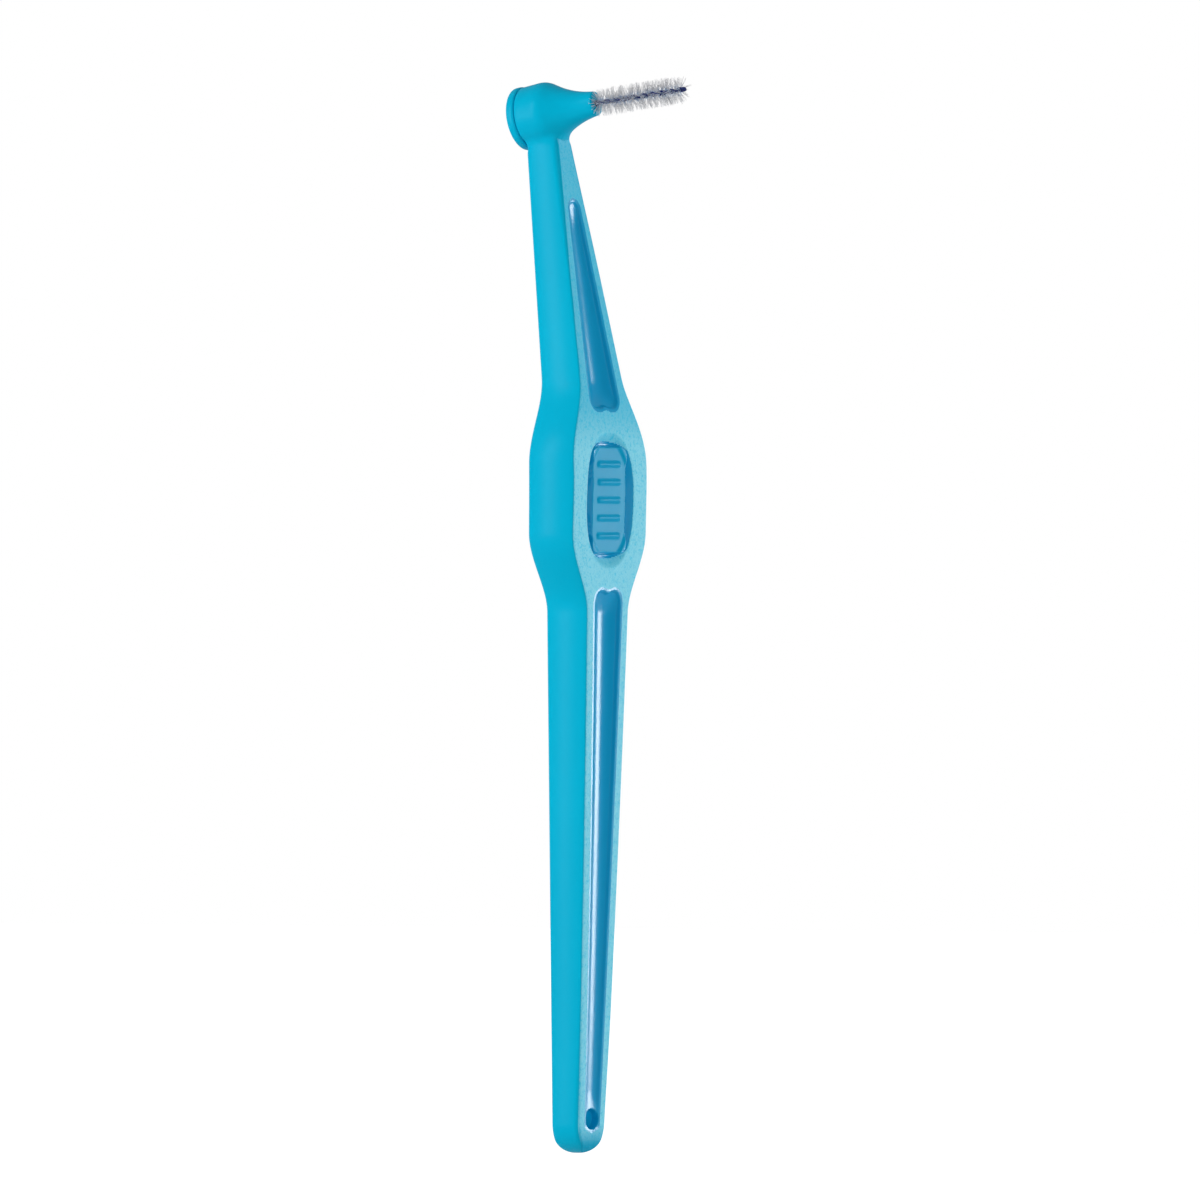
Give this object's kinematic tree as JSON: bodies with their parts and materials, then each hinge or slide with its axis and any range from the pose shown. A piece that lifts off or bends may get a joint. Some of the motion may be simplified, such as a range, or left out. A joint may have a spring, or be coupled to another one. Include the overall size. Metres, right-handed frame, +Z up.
{
  "type": "interdental brush",
  "caption": "Long flat handle with an oval finger grip and a leaning neck, whose hub holds a short twisted-wire brush with nylon filaments for cleaning between teeth.",
  "frame": {"origin": "centre of the oval finger grip, between the front and back faces", "axes": "+Z up the handle towards the head, +X the way the brush points, Y across the grip"},
  "size_m": [0.0274, 0.022, 0.1506],
  "materials": {
    "handle_plastic": "matte moulded",
    "cap_plastic": "matte moulded",
    "wire_steel": "drawn",
    "wire_coating": "smooth",
    "nylon": "clear strand"
  },
  "bodies": {
    "root": {"handle": "handle_plastic", "rear_cap": "cap_plastic", "wire_core": "wire_steel", "wire_coating": "wire_coating", "filament_row_01": "nylon", "filament_row_02": "nylon", "filament_row_03": "nylon", "filament_row_04": "nylon", "filament_row_05": "nylon", "filament_row_06": "nylon", "filament_row_07": "nylon", "filament_row_08": "nylon", "filament_row_09": "nylon"}
  },
  "joints": []
}
